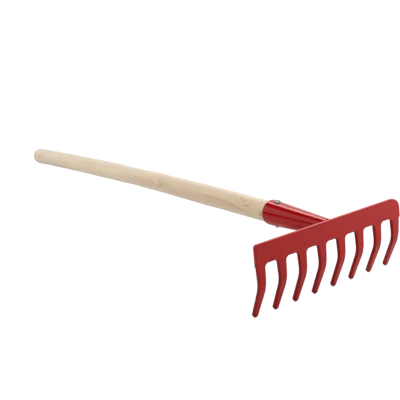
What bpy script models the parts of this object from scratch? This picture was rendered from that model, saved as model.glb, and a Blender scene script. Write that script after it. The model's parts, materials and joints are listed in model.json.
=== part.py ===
"""A small garden rake, resting on its tine tips and on the far end of its handle.

A pressed steel head with eight tines, a tapered socket rolled from sheet and welded to its back,
and a bowed wooden handle held in the socket by one rivet.

Each piece is made in the tool's own frame, in metres: X runs across the head, Y runs back along the
socket towards the handle's far end, and Z runs up the plate. Its origin is the middle of the plate's
lower edge, halfway through the plate's thickness. The whole tool is then tipped back until tines and
handle touch the floor.
"""
import math

import bmesh
import bpy
import numpy as np
from mathutils import Matrix, Vector

# The head: a flat blank with eight tines, bent in a press
TINE_COUNT = 8
TINE_PITCH = 0.0250
PLATE_HEIGHT = 0.0198
PLATE_THICKNESS = 0.0040
LEFT_END = 0.0045           # from the centre of an end tine to the end of the plate beside it
RIGHT_END = 0.0067          # the shears left more metal there
LEFT_CORNER_RADIUS = 0.0043
RIGHT_CORNER_RADIUS = 0.0092
LEFT_SHOULDER = 0.0005      # how far an end tine starts inside the end of the plate
RIGHT_SHOULDER = 0.0014
SHOULDER_HEIGHT = 0.0014
END_FLARE = 0.0008          # how far the shears pushed out the lower corner of each end
FLARE_START = 0.0027
ROOT_FILLET = 0.0040
TINE_ROOT_WIDTH = 0.0098
TINE_BEND_WIDTH = 0.0076
TINE_TIP_WIDTH = 0.0053
TINE_LENGTH = 0.0592        # along the metal, from the plate's lower edge to the tip
TINE_TIP_LENGTH = 0.0025
STRAIGHT_LENGTH = 0.0142    # from the plate's lower edge to the start of the bend
BEND_RADIUS = 0.0320
BEND_ANGLE = math.radians(26.7)
EDGE_RADIUS = 0.0009

# The socket: a cone rolled from sheet
SOCKET_HEIGHT = 0.0128      # from the plate's lower edge to the socket's axis
SOCKET_LENGTH = 0.0845
SOCKET_FOOT_RADIUS = 0.0073
SOCKET_MOUTH_RADIUS = 0.0139
SHEET = 0.0012
SEAM_WIDTH = 0.0005

# The weld between the plate's back and the socket's foot
WELD_LEG = 0.0026
WELD_OPEN_ANGLE = math.radians(112)   # left open at the top, where the plate is as high as the socket
WELD_END_LEG = 0.0009
WELD_RUN_OUT = 0.13                   # the share of its run over which each end thins out

# The handle
HANDLE_LENGTH = 0.6250      # outside the socket
HANDLE_MOUTH_RADIUS = 0.0113
HANDLE_END_RADIUS = 0.0121
HANDLE_BOW = 0.0039
HANDLE_DOME = 0.0105
TENON_LENGTH = 0.0740
TENON_CHAMFER = 0.0015

# The rivet through socket and handle
RIVET_HEAD_INSET = 0.0108   # from the socket's mouth to the rivet's head
RIVET_TAIL_INSET = 0.0067   # from the socket's mouth to its tail, which leans towards the mouth
RIVET_HEAD_RADIUS = 0.0036
RIVET_HEAD_HEIGHT = 0.0021
RIVET_SHANK_RADIUS = 0.0016
RIVET_TAIL_RADIUS = 0.0023
RIVET_TAIL_HEIGHT = 0.0022
RIVET_DIMPLE_RADIUS = 0.0011
RIVET_DIMPLE_DEPTH = 0.0006

GAP = 0.0003                # left between pieces that touch
SMOOTH_ANGLE = math.radians(35)
MERGE = 0.00001

# How finely the round stretches are divided
CORNER_STEPS = 7
FILLET_STEPS = 5
TIP_STEPS = 8
BEND_STEPS = 5
EDGE_STEPS = 2
SOCKET_STEPS = 56
LIP_STEPS = 6
WELD_STEPS = 40
BEAD_STEPS = 4
HANDLE_STEPS = 40
BOW_STEPS = 21
DOME_STEPS = 7
RIVET_STEPS = 28

# Sizes that follow from those above
HALF_THICKNESS = PLATE_THICKNESS / 2
SOCKET_FOOT = HALF_THICKNESS + GAP
SOCKET_MOUTH = SOCKET_FOOT + SOCKET_LENGTH
HANDLE_END = SOCKET_MOUTH + HANDLE_LENGTH
BEND_LENGTH = BEND_RADIUS * BEND_ANGLE
BEND_MIDDLE = STRAIGHT_LENGTH + BEND_LENGTH / 2
TIP_START = TINE_LENGTH - TINE_TIP_LENGTH
HALF_ROW = (TINE_COUNT - 1) / 2 * TINE_PITCH
PLATE_LEFT = -HALF_ROW - LEFT_END
PLATE_RIGHT = HALF_ROW + RIGHT_END
CONE_SLOPE = (SOCKET_MOUTH_RADIUS - SOCKET_FOOT_RADIUS) / SOCKET_LENGTH
PINCH = SOCKET_MOUTH_RADIUS - SHEET - GAP - HANDLE_MOUTH_RADIUS
PINCH_START = SOCKET_MOUTH - PINCH / CONE_SLOPE


def clear_scene():
    for ob in list(bpy.data.objects):
        bpy.data.objects.remove(ob, do_unlink=True)


def material(name, colour, roughness, metallic=0.0):
    mat = bpy.data.materials.new(name)
    mat.use_nodes = True
    shader = mat.node_tree.nodes["Principled BSDF"]
    shader.inputs["Base Color"].default_value = (*colour, 1.0)
    shader.inputs["Roughness"].default_value = roughness
    shader.inputs["Metallic"].default_value = metallic
    return mat


def add_object(name, bm, mat):
    """Put a bmesh into the scene as a smooth-shaded object with its faces pointing out."""
    bmesh.ops.remove_doubles(bm, verts=bm.verts, dist=MERGE)
    bmesh.ops.recalc_face_normals(bm, faces=bm.faces)
    mesh = bpy.data.meshes.new(name)
    bm.to_mesh(mesh)
    bm.free()
    mesh.shade_smooth()
    mesh.set_sharp_from_angle(angle=SMOOTH_ANGLE)
    mesh.materials.append(mat)
    ob = bpy.data.objects.new(name, mesh)
    bpy.context.scene.collection.objects.link(ob)
    return ob


def arc(centre, radii, start, end, steps):
    """Points on an ellipse from one angle in degrees to another, both ends included."""
    angles = np.radians(np.linspace(start, end, steps + 1))
    return [(centre[0] + radii[0] * math.cos(a), centre[1] + radii[1] * math.sin(a)) for a in angles]


def turned(profile, steps, sweep=2 * math.pi, start=-math.pi / 2):
    """A profile of (radius, y) points, turned about the Y axis from a start angle in the XZ plane."""
    bm = bmesh.new()
    points = [bm.verts.new((r * math.cos(start), y, r * math.sin(start))) for r, y in profile]
    closed = profile[0][0] > 0
    pairs = zip(points, points[1:] + points[:1]) if closed else zip(points, points[1:])
    edges = [bm.edges.new(pair) for pair in pairs]
    bmesh.ops.spin(bm, geom=points + edges, cent=(0, 0, 0), axis=(0, -1, 0), angle=sweep, steps=steps)
    bmesh.ops.remove_doubles(bm, verts=bm.verts, dist=MERGE)
    return bm


def tine_side(root_half, fillet):
    """One side of a tine as (half width, height) points, from the plate's lower edge to the tip's start."""
    taper = math.atan((root_half - TINE_BEND_WIDTH / 2) / BEND_MIDDLE)
    points = []
    if fillet:
        x = root_half - fillet * math.tan(taper) + fillet / math.cos(taper)
        points += arc((x, -fillet), (-fillet, fillet), 90, -math.degrees(taper), FILLET_STEPS)
    points.append((TINE_BEND_WIDTH / 2, -BEND_MIDDLE))
    points.append((TINE_TIP_WIDTH / 2, -TIP_START))
    return points


def blank_outline():
    """Outline of the flat blank as (x, z) points: the plate's top edge, then the tines right to left."""
    radius = LEFT_CORNER_RADIUS
    outline = arc((PLATE_LEFT + radius, PLATE_HEIGHT - radius), (radius, radius), 180, 90, CORNER_STEPS)
    radius = RIGHT_CORNER_RADIUS
    outline += arc((PLATE_RIGHT - radius, PLATE_HEIGHT - radius), (radius, radius), 90, 0, CORNER_STEPS)
    outline.append((PLATE_RIGHT, FLARE_START))
    outline.append((PLATE_RIGHT + END_FLARE, SHOULDER_HEIGHT / 2))
    outline.append((PLATE_RIGHT - RIGHT_SHOULDER, -SHOULDER_HEIGHT / 2))
    inner = tine_side(TINE_ROOT_WIDTH / 2, ROOT_FILLET)
    leftmost = tine_side(LEFT_END - LEFT_SHOULDER, 0)
    rightmost = tine_side(RIGHT_END - RIGHT_SHOULDER, 0)
    tip = arc((0, -TIP_START), (TINE_TIP_WIDTH / 2, TINE_TIP_LENGTH), 0, -180, TIP_STEPS)[1:-1]
    for k in reversed(range(TINE_COUNT)):
        x = k * TINE_PITCH - HALF_ROW
        right = rightmost if k == TINE_COUNT - 1 else inner
        left = leftmost if k == 0 else inner
        outline += [(x + half, z) for half, z in right]
        outline += [(x + tip_x, z) for tip_x, z in tip]
        outline += [(x - half, z) for half, z in reversed(left)]
    outline.append((PLATE_LEFT + LEFT_SHOULDER, -SHOULDER_HEIGHT / 2))
    outline.append((PLATE_LEFT - END_FLARE, SHOULDER_HEIGHT / 2))
    outline.append((PLATE_LEFT, FLARE_START))
    return outline


def press_bend(point):
    """Where a point of the flat blank lies once the tines are bent back along an arc towards +Y."""
    x, y, z = point
    along = max(0.0, -z - STRAIGHT_LENGTH)
    if along == 0.0:
        return Vector((x, y, z))
    angle = min(along / BEND_RADIUS, BEND_ANGLE)
    beyond = along - BEND_RADIUS * angle
    middle_y = BEND_RADIUS * (1 - math.cos(angle)) + beyond * math.sin(angle)
    middle_z = -STRAIGHT_LENGTH - BEND_RADIUS * math.sin(angle) - beyond * math.cos(angle)
    return Vector((x, middle_y + y * math.cos(angle), middle_z + y * math.sin(angle)))


def rake_head(mat):
    """Plate and tines: a blank cut from thick plate, its edges rounded, its tines bent back."""
    bm = bmesh.new()
    front = bm.faces.new([bm.verts.new((x, -HALF_THICKNESS, z)) for x, z in blank_outline()])
    back = bmesh.ops.extrude_face_region(bm, geom=[front])
    moved = [v for v in back["geom"] if isinstance(v, bmesh.types.BMVert)]
    bmesh.ops.translate(bm, verts=moved, vec=(0, PLATE_THICKNESS, 0))
    rims = [e for e in bm.edges if e.verts[0].co.y == e.verts[1].co.y]
    bmesh.ops.bevel(bm, geom=rims, offset=EDGE_RADIUS, segments=EDGE_STEPS, profile=0.5, affect="EDGES")
    cuts = [0.0, ROOT_FILLET, TIP_START]
    cuts += [STRAIGHT_LENGTH + BEND_LENGTH * k / BEND_STEPS for k in range(BEND_STEPS + 1)]
    for depth in cuts:
        geometry = bm.verts[:] + bm.edges[:] + bm.faces[:]
        bmesh.ops.bisect_plane(bm, geom=geometry, plane_co=(0, 0, -depth), plane_no=(0, 0, 1), dist=MERGE)
    for v in bm.verts:
        v.co = press_bend(v.co)
    bmesh.ops.triangulate(bm, faces=bm.faces)
    return add_object("rake_head", bm, mat)


def cone_radius(y):
    """Outer radius of the socket's cone at a place along the tool."""
    return SOCKET_FOOT_RADIUS + CONE_SLOPE * (y - SOCKET_FOOT)


def pinch(y, side):
    """How far the socket's underside is drawn in near its mouth, where it is pulled against the wood.

    side is the sine of the angle round the socket, -1 at its lowest line.
    """
    return max(0.0, CONE_SLOPE * (y - PINCH_START)) * max(0.0, -side)


def socket(mat):
    """A cone rolled from sheet until its edges all but meet along the underside."""
    rim = SHEET / 2
    rim_y = SOCKET_MOUTH - rim
    stations = [*np.linspace(SOCKET_FOOT, PINCH_START, 4), (PINCH_START + SOCKET_MOUTH) / 2]
    outer = [(cone_radius(y), y) for y in stations]
    lip = arc((cone_radius(rim_y) - rim, rim_y), (rim, rim), 0, 180, LIP_STEPS)
    inner = [(cone_radius(y) - SHEET, y) for y in reversed(stations)]
    seam = SEAM_WIDTH / SOCKET_MOUTH_RADIUS
    bm = turned(outer + lip + inner, SOCKET_STEPS, 2 * math.pi - seam, -math.pi / 2 + seam / 2)
    ends = [e for e in bm.edges if e.is_boundary]
    bmesh.ops.edgeloop_fill(bm, edges=ends)
    for v in bm.verts:
        radius = math.hypot(v.co.x, v.co.z)
        factor = 1 - pinch(v.co.y, v.co.z / radius) / radius
        v.co.x *= factor
        v.co.z = SOCKET_HEIGHT + v.co.z * factor
    return add_object("socket", bm, mat)


def weld_bead(mat):
    """A fillet weld in the corner between plate and socket, thinning out at both ends."""
    bm = bmesh.new()
    corner_r = SOCKET_FOOT_RADIUS + GAP
    corner_y = HALF_THICKNESS + GAP
    sweep = 2 * math.pi - WELD_OPEN_ANGLE
    first = math.pi / 2 + WELD_OPEN_ANGLE / 2
    rings = []
    for share in np.linspace(0, 1, WELD_STEPS + 1):
        angle = first + sweep * share
        fullness = min(1.0, min(share, 1 - share) / WELD_RUN_OUT)
        leg = WELD_END_LEG + (WELD_LEG - WELD_END_LEG) * fullness
        ring = []
        for r, y in [(corner_r, corner_y), *arc((corner_r, corner_y), (leg, leg), 0, 90, BEAD_STEPS)]:
            radius = r + CONE_SLOPE * (y - corner_y)
            x = radius * math.cos(angle)
            z = SOCKET_HEIGHT + radius * math.sin(angle)
            ring.append(bm.verts.new((x, y, z)))
        rings.append(ring)
    for ring, following in zip(rings, rings[1:]):
        for k in range(len(ring)):
            other = (k + 1) % len(ring)
            bm.faces.new((ring[k], ring[other], following[other], following[k]))
    bm.faces.new(rings[0])
    bm.faces.new(reversed(rings[-1]))
    return add_object("weld_bead", bm, mat)


def handle_radius(y):
    """Radius of the handle: it fits the socket's cone inside, and swells a little towards its far end."""
    share = (y - SOCKET_MOUTH) / HANDLE_LENGTH
    if share > 0:
        return HANDLE_MOUTH_RADIUS + (HANDLE_END_RADIUS - HANDLE_MOUTH_RADIUS) * share
    return min(HANDLE_MOUTH_RADIUS, cone_radius(y) - SHEET - GAP)


def handle(mat):
    """A turned stick with a tapered tenon and a domed end, which has bowed upwards as it dried."""
    tenon = SOCKET_MOUTH - TENON_LENGTH
    dome = HANDLE_END - HANDLE_DOME
    stations = [tenon + TENON_CHAMFER, PINCH_START, *np.linspace(SOCKET_MOUTH, dome, BOW_STEPS + 1)]
    profile = [(0, tenon), (handle_radius(tenon) - TENON_CHAMFER, tenon)]
    profile += [(handle_radius(y), y) for y in stations]
    profile += arc((0, dome), (handle_radius(dome), HANDLE_DOME), 0, 90, DOME_STEPS)[1:]
    bm = turned(profile, HANDLE_STEPS)
    for v in bm.verts:
        share = max(0.0, (v.co.y - SOCKET_MOUTH) / HANDLE_LENGTH)
        v.co.z += SOCKET_HEIGHT + HANDLE_BOW * 4 * share * (1 - share)
    return add_object("handle", bm, mat)


def rivet_ends():
    """The points of the socket's surface under the rivet's head and over its tail."""
    head_y = SOCKET_MOUTH - RIVET_HEAD_INSET
    tail_y = SOCKET_MOUTH - RIVET_TAIL_INSET
    head = Vector((0, head_y, SOCKET_HEIGHT + cone_radius(head_y)))
    tail = Vector((0, tail_y, SOCKET_HEIGHT - cone_radius(tail_y) + pinch(tail_y, -1)))
    return head, tail


def stand_on_rivet_axis(ob):
    """Turn an object made along Y onto the rivet's axis: its origin to the tail, its +Y towards the head."""
    head, tail = rivet_ends()
    turn = Vector((0, 1, 0)).rotation_difference(head - tail).to_matrix().to_4x4()
    ob.data.transform(Matrix.Translation(tail) @ turn)


def rivet(mat):
    """Round head with a punched dimple, plain shank and hammered tail, turned as one piece."""
    head, tail = rivet_ends()
    base = (head - tail).length + GAP
    rim_angle = math.degrees(math.acos(RIVET_DIMPLE_RADIUS / RIVET_HEAD_RADIUS))
    profile = [(0, base + RIVET_HEAD_HEIGHT - RIVET_DIMPLE_DEPTH)]
    profile += arc((0, base), (RIVET_HEAD_RADIUS, RIVET_HEAD_HEIGHT), rim_angle, 0, DOME_STEPS)
    profile += [(RIVET_SHANK_RADIUS, base), (RIVET_SHANK_RADIUS, -GAP)]
    profile += arc((0, -GAP), (RIVET_TAIL_RADIUS, RIVET_TAIL_HEIGHT), 0, -90, DOME_STEPS)
    ob = add_object("rivet", turned(profile, RIVET_STEPS), mat)
    stand_on_rivet_axis(ob)
    return ob


def drill(pieces):
    """One drilled hole on the rivet's axis, through the socket's wall and the wood."""
    head, tail = rivet_ends()
    overrun = 2 * RIVET_TAIL_HEIGHT
    high = (head - tail).length + overrun
    radius = RIVET_SHANK_RADIUS + GAP
    profile = [(0, -overrun), (radius, -overrun), (radius, high), (0, high)]
    cutter = add_object("rivet_hole", turned(profile, RIVET_STEPS), pieces[0].data.materials[0])
    stand_on_rivet_axis(cutter)
    cutter.hide_render = True
    cutter.display_type = "WIRE"
    for piece in pieces:
        cut = piece.modifiers.new("rivet_hole", "BOOLEAN")
        cut.operation = "DIFFERENCE"
        cut.solver = "EXACT"
        cut.object = cutter
    return cutter


def lay_on_floor(objects):
    """Tip the tool back until tines and handle touch the floor, and centre its box on the origin.

    Each round levels the lowest point of the head with that of the handle, until they stay the same.
    """
    points = np.array([v.co for ob in objects for v in ob.data.vertices])
    y, z = points[:, 1], points[:, 2]
    half_way = SOCKET_MOUTH + HANDLE_LENGTH / 2
    tilt = 0.0
    for _ in range(10):
        height = z * math.cos(tilt) - y * math.sin(tilt)
        near = np.argmin(np.where(y < half_way, height, np.inf))
        far = np.argmin(np.where(y > half_way, height, np.inf))
        tilt = math.atan((z[near] - z[far]) / (y[near] - y[far]))
    back = y * math.cos(tilt) + z * math.sin(tilt)
    height = z * math.cos(tilt) - y * math.sin(tilt)
    tool = bpy.data.objects.new("tool_axes", None)
    bpy.context.scene.collection.objects.link(tool)
    tool.rotation_euler = (-tilt, 0, 0)
    tool.location = (-(PLATE_LEFT + PLATE_RIGHT) / 2, -(back.min() + back.max()) / 2, -height.min())
    for ob in objects:
        ob.parent = tool


def build():
    clear_scene()
    red_paint = material("red_paint", (0.42, 0.028, 0.026), 0.28)
    red_weld = material("red_weld", (0.36, 0.024, 0.022), 0.38)
    pale_wood = material("pale_wood", (0.72, 0.58, 0.42), 0.62)
    zinc_steel = material("zinc_steel", (0.62, 0.61, 0.58), 0.26, 1.0)
    head = rake_head(red_paint)
    tube = socket(red_paint.copy())
    bead = weld_bead(red_weld)
    stick = handle(pale_wood)
    pin = rivet(zinc_steel)
    cutter = drill([tube, stick])
    lay_on_floor([head, tube, bead, stick, pin, cutter])


build()
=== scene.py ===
"""The looks of a small garden rake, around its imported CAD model.

A gloss red pressed head, a rolled and welded socket, a bowed stick of pale bare wood and a bright
rivet, on a pale floor in soft studio light.

Every piece is a surface worked out on a grid of two parameters, in the tool's own frame: X runs
across the head, Y back along the socket towards the handle's far end, Z up the plate, and the origin
is the middle of the plate's lower edge, halfway through its thickness. Lengths are in metres.
"""

import json
import math

import bmesh
import bpy
import numpy as np
from mathutils import Matrix, Vector


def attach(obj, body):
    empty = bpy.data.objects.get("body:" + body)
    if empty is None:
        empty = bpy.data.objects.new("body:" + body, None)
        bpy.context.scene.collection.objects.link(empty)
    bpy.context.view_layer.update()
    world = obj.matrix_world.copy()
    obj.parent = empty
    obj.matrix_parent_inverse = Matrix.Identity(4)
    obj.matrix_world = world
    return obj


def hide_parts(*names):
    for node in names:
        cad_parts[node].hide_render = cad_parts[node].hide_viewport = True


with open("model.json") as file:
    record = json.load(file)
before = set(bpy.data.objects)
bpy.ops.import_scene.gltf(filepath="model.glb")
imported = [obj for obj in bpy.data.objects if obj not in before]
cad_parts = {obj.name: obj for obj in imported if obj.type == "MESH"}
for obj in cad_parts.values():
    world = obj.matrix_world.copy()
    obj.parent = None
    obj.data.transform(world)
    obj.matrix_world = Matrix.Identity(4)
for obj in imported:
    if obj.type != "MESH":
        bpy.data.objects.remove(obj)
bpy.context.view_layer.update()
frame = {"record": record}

# The pressed head
TINE_COUNT = 8
TINE_PITCH = 0.025
PLATE_HEIGHT = 0.0198
HALF_THICKNESS = 0.002
ROOT_FILLET = 0.004
ROOT_HALF = 0.0049
BEND_HALF = 0.0038
TIP_HALF = 0.00265
TINE_LENGTH = 0.05906
TIP_LENGTH = 0.0025
STRAIGHT_LENGTH = 0.0142
BEND_RADIUS = 0.032
BEND_ANGLE = math.radians(26.7)
EDGE_RADIUS = 0.0007
FLAT_MARGIN = 0.0004        # a ring of points on the flat just inside each rounded edge

# The plate's two ends, which the shears left unlike, measured from the centre of the tine beside each:
# the end's reach at the top, how far it leans out down to the plate's lower edge and how far its lowest
# corner is pushed out, the top corner's radius, where the step in to the tine lies and how high it is,
# and half the tine's width at its root and at the bend
LEFT_END = {"reach": 0.00465, "lean": 0.0005, "flare": 0.0001, "corner": 0.0032,
            "step_z": -0.0014, "step_height": 0.0014, "root": 0.0046, "bend": 0.004}
RIGHT_END = {"reach": 0.0072, "lean": 0.0, "flare": 0.0003, "corner": 0.0105,
             "step_z": -0.0008, "step_height": 0.0016, "root": 0.006, "bend": 0.0038}
FLARE_HEIGHT = 0.0022
NORMAL_REACH = 0.0007       # how far along the outline its normals are averaged
PLATE_WALL_RELIEF = 0.8            # how much less of the walls' thinner paint and painted shade the plate's edge takes than the tines'
MARGIN_SHADE = 0.25          # how far the painted shade along the edges reaches onto the flat
TIP_SHADE = 0.9              # how dark the painted shade is at the tips
TIP_SHADE_START = 0.05       # and how far below the plate it starts
CREST_HIGHLIGHT_DEPTH = 0.0012        # how far down the plate's ends the painted highlight along its top edge reaches

# The rolled socket
SOCKET_HEIGHT = 0.0128
SOCKET_FOOT = 0.0023
SOCKET_MOUTH = 0.0868
FOOT_RADIUS = 0.0073
MOUTH_RADIUS = 0.0139
SHEET = 0.0012
SEAM_WIDTH = 0.0005
MOUTH_LEAN = 0.0009         # how far the mouth's top stands out before its middle
LEAN_LENGTH = 0.022
BELLY = 0.001               # how far the underside bulges
BELLY_MIDDLE = 0.048        # where along the socket, and how far it fades to either side
BELLY_REACH = 0.016
LIP_SHADE = 1.6              # how dark the painted shade is round the mouth's lip
LIP_SHADE_REACH = 0.0021     # and how far it reaches from the mouth

# The weld round the socket's foot
WELD_LEG = 0.0026
WELD_END_LEG = 0.0009
WELD_RUN_OUT = 0.13
WELD_OPEN_ANGLE = math.radians(112)
WELD_RIPPLES = 19
WELD_RIPPLE_HEIGHT = 0.00022
WELD_RIPPLE_MEAN = 0.6      # about the mean of the ripples' unsigned sine
WELD_POOL_BEND = 1.6        # how far a ripple is bent back at the section's middle, in radians
WELD_SWAY = (0.00012, 23, 1.0)      # a slow wave of the leg: height, radians over the run, and start

# The handle
HANDLE_LENGTH = 0.62495
HANDLE_MOUTH_RADIUS = 0.0113
HANDLE_END_RADIUS = 0.01203
HANDLE_BOW = 0.0039
HANDLE_DOME = 0.0105
TENON_LENGTH = 0.074
TENON_CHAMFER = 0.0015
# The lathe's waves: height, radians in each metre along, turns in each turn round, and start
TURNING_WAVES = [(0.00007, 46, 2, 0), (0.000042, 83, -3, 1)]
WAVES_FADE_IN = 0.02
WAVES_FADE_OUT = 0.05
# How the stick swells and strays, in millimetres: place along it, growth of its radius, rise and reach
SWELLS = [
    (148, 0.25, 0, 18), (200, 0.6, -0.15, 26), (238, 0.15, -0.1, 22), (267, 0.15, 0, 14),
    (320, 0.28, 0.55, 24), (378, -0.28, 0.35, 26), (435, 0.28, 0.4, 22), (480, 0.25, 0, 28),
    (568, 0.25, 0, 20), (628, 0.22, 0.15, 16), (660, -0.18, 0.15, 16),
]

# The rivet
RIVET_HEAD_INSET = 0.0108
RIVET_TAIL_INSET = 0.0067
RIVET_HEAD_RADIUS = 0.0036
RIVET_HEAD_HEIGHT = 0.0023
RIVET_RIM = 0.0005
RIVET_SHANK_RADIUS = 0.0016
RIVET_TAIL_RADIUS = 0.0025
RIVET_TAIL_HEIGHT = 0.002
RIVET_DIMPLE_RADIUS = 0.0017
RIVET_DIMPLE_DEPTH = 0.0012
RIVET_CROWN_POWER = 2.4
RIVET_DIMPLE_POWER = 4
RIVET_RIM_TUCK = 0.3        # how far the rim's foot is tucked in, as a share of its height
RIVET_TAIL_POWER = 1.2
RIVET_TAIL_UNEVEN = (0.05, 3, 0.7)      # how far it is out of round, in how many lobes, and their start
DENT_RADIUS = 0.0042        # how far the sheet is drawn in or out round the rivet
HEAD_DENT = 0.0001
TAIL_BULGE = 0.00035

FIT = 0.0003                # the gap that the CAD model leaves between pieces that touch
MERGE = 0.000002            # how near points are that become one
MM = 0.001

# Sizes that follow from those above
HANDLE_END = SOCKET_MOUTH + HANDLE_LENGTH
BEND_MIDDLE = STRAIGHT_LENGTH + BEND_RADIUS * BEND_ANGLE / 2
TIP_START = TINE_LENGTH - TIP_LENGTH
HALF_ROW = (TINE_COUNT - 1) / 2 * TINE_PITCH
TINE_CENTRES = np.arange(TINE_COUNT) * TINE_PITCH - HALF_ROW
RIM_WIDTH = EDGE_RADIUS + FLAT_MARGIN
CONE_SLOPE = (MOUTH_RADIUS - FOOT_RADIUS) / (SOCKET_MOUTH - SOCKET_FOOT)
PINCH_START = SOCKET_MOUTH - (MOUTH_RADIUS - SHEET - FIT - HANDLE_MOUTH_RADIUS) / CONE_SLOPE


def tool_placement():
    """The matrix that turns the tool's frame into the row's: from the mount on the plate's front face.

    The mount's axis is the tool's -Y, tipped back about X, and its place is the middle of that face.
    """
    front = next(m for m in frame["record"]["mounts"] if m["name"] == "front_face")
    back = -Vector(front["axis"])
    up = Vector((1, 0, 0)).cross(back)
    turn = Matrix((Vector((1, 0, 0)), back, up)).transposed()
    place = Vector(front["pos_m"]) - turn @ Vector((0, -HALF_THICKNESS, PLATE_HEIGHT / 2))
    return Matrix.Translation(place) @ turn.to_4x4()


TO_ROW = tool_placement()


def smooth(share):
    """A soft step: 3s² - 2s³ of the share s, held between 0 and 1."""
    share = np.clip(share, 0.0, 1.0)
    return share * share * (3 - 2 * share)


def points(x, y, z):
    """Points from their coordinates, each a grid or what spreads over one."""
    return np.stack(np.broadcast_arrays(x, y, z), axis=-1)


def grid_faces(rows, columns, first):
    """Quads between neighbouring points of a grid whose points are numbered row by row."""
    index = np.arange(rows * columns).reshape(rows, columns) + first
    corners = [index[:-1, :-1], index[:-1, 1:], index[1:, 1:], index[1:, :-1]]
    return np.stack(corners, axis=-1).reshape(-1, 4)


def new_object(name, data):
    """A scene object for a mesh, lamp or camera."""
    ob = bpy.data.objects.new(name, data)
    bpy.context.scene.collection.objects.link(ob)
    return ob


def add_piece(name, node, slot, material, grids, marks):
    """Join grids of points, each (rows, columns, 3), into one closed mesh that stands for a CAD node.

    marks gives, for each named point attribute, values that spread over each grid. Points that
    coincide along seams and at poles are merged, and the faces are then turned outwards.
    """
    place = np.concatenate([grid.reshape(-1, 3) for grid in grids])
    matrix = np.array(TO_ROW)
    place = place @ matrix[:3, :3].T + matrix[:3, 3]
    faces = []
    first = 0
    for grid in grids:
        faces.append(grid_faces(*grid.shape[:2], first))
        first += grid.size // 3
    mesh = bpy.data.meshes.new(name)
    mesh.from_pydata(place.tolist(), [], np.concatenate(faces).tolist())
    for mark, values in marks.items():
        values = [np.broadcast_to(value, grid.shape[:2]).ravel() for value, grid in zip(values, grids)]
        attribute = mesh.attributes.new(mark, "FLOAT", "POINT")
        attribute.data.foreach_set("value", np.concatenate(values).astype(np.float32))
    shell = bmesh.new()
    shell.from_mesh(mesh)
    bmesh.ops.remove_doubles(shell, verts=shell.verts, dist=MERGE)
    bmesh.ops.recalc_face_normals(shell, faces=shell.faces)
    shell.to_mesh(mesh)
    shell.free()
    mesh.shade_smooth()
    mesh.materials.append(material)
    piece = new_object(name, mesh)
    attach(piece, "root")
    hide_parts(node)


# The pressed head

FILLET_STEPS = 14
SIDE_STEPS = 58
TINE_TIP_STEPS = 12
TINE_STEPS = 8
GAP_STEPS = 4
END_STEPS = 30
EDGE_STEPS = 5
WALL_STEPS = 3
TINE_SHARES = np.linspace(0, 1, TINE_STEPS + 1)
STEP_ROWS = [0, 0.2, 0.8, 1]    # which of an end tine's first rows cross its step


def tine_half_width(depth, root, bend):
    """Half the width of a tine at depths below the plate: it tapers evenly to the bend, then to the tip."""
    return np.interp(depth, [0, BEND_MIDDLE, TIP_START], [root, bend, TIP_HALF])


def tine_tip():
    """A quarter ellipse from a tine's side to its lowest point, as (half width, z)."""
    angle = np.linspace(0, math.pi / 2, TINE_TIP_STEPS + 1)[1:]
    return np.column_stack([TIP_HALF * np.cos(angle), -TIP_START - TIP_LENGTH * np.sin(angle)])


def inner_side():
    """A tine's side as (half width, z): the root fillet's arc, the straight taper and the rounded tip."""
    taper = math.atan((ROOT_HALF - BEND_HALF) / BEND_MIDDLE)
    centre = ROOT_HALF - ROOT_FILLET * math.tan(taper) + ROOT_FILLET / math.cos(taper)
    angle = np.linspace(math.pi / 2, -taper, FILLET_STEPS + 1)
    half = centre - ROOT_FILLET * np.cos(angle)
    z = ROOT_FILLET * (np.sin(angle) - 1)
    z_side = np.linspace(z[-1], -TIP_START, SIDE_STEPS + 1)[1:]
    half_side = tine_half_width(-z_side, ROOT_HALF, BEND_HALF)
    body = np.column_stack([np.append(half, half_side), np.append(z, z_side)])
    return np.concatenate([body, tine_tip()])


def end_reach(z, end):
    """How far one end of the head lies from the centre of its tine, at heights z.

    The tine tapers as the others do, the plate's end leans and flares outwards towards its lower
    corner, and a soft step leads from one to the other.
    """
    tine = tine_half_width(-z, end["root"], end["bend"])
    plate = end["reach"] + end["lean"] * (1 - z / PLATE_HEIGHT)
    plate = plate + end["flare"] * smooth(1 - z / FLARE_HEIGHT)
    return tine + (plate - tine) * smooth((z - end["step_z"]) / end["step_height"] + 0.5)


def outer_side(end):
    """The free side of an end tine, in as many rows as inner_side: most of its first rows cross the step."""
    inner = inner_side()[:-TINE_TIP_STEPS, 1]
    low = inner[FILLET_STEPS]
    half_step = end["step_height"] / 2
    heights = [EDGE_RADIUS, end["step_z"] + half_step, end["step_z"] - half_step, low]
    z = np.interp(np.linspace(0, 1, FILLET_STEPS + 1), STEP_ROWS, heights)
    z = np.append(z, inner[FILLET_STEPS + 1:])
    return np.concatenate([np.column_stack([end_reach(z, end), z]), tine_tip()])


def plate_end(end):
    """One end of the plate from its lower corner to the middle of the top corner, evenly spaced."""
    corner = end["corner"]
    straight = PLATE_HEIGHT - corner - EDGE_RADIUS
    run = np.linspace(0, straight + corner * math.pi / 4, END_STEPS + 1)[1:]
    rise = np.minimum(run, straight)
    turn = (run - rise) / corner
    z = EDGE_RADIUS + rise + corner * np.sin(turn)
    x = HALF_ROW + end_reach(z, end) - corner * (1 - np.cos(turn))
    return np.column_stack([x, z])


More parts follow.
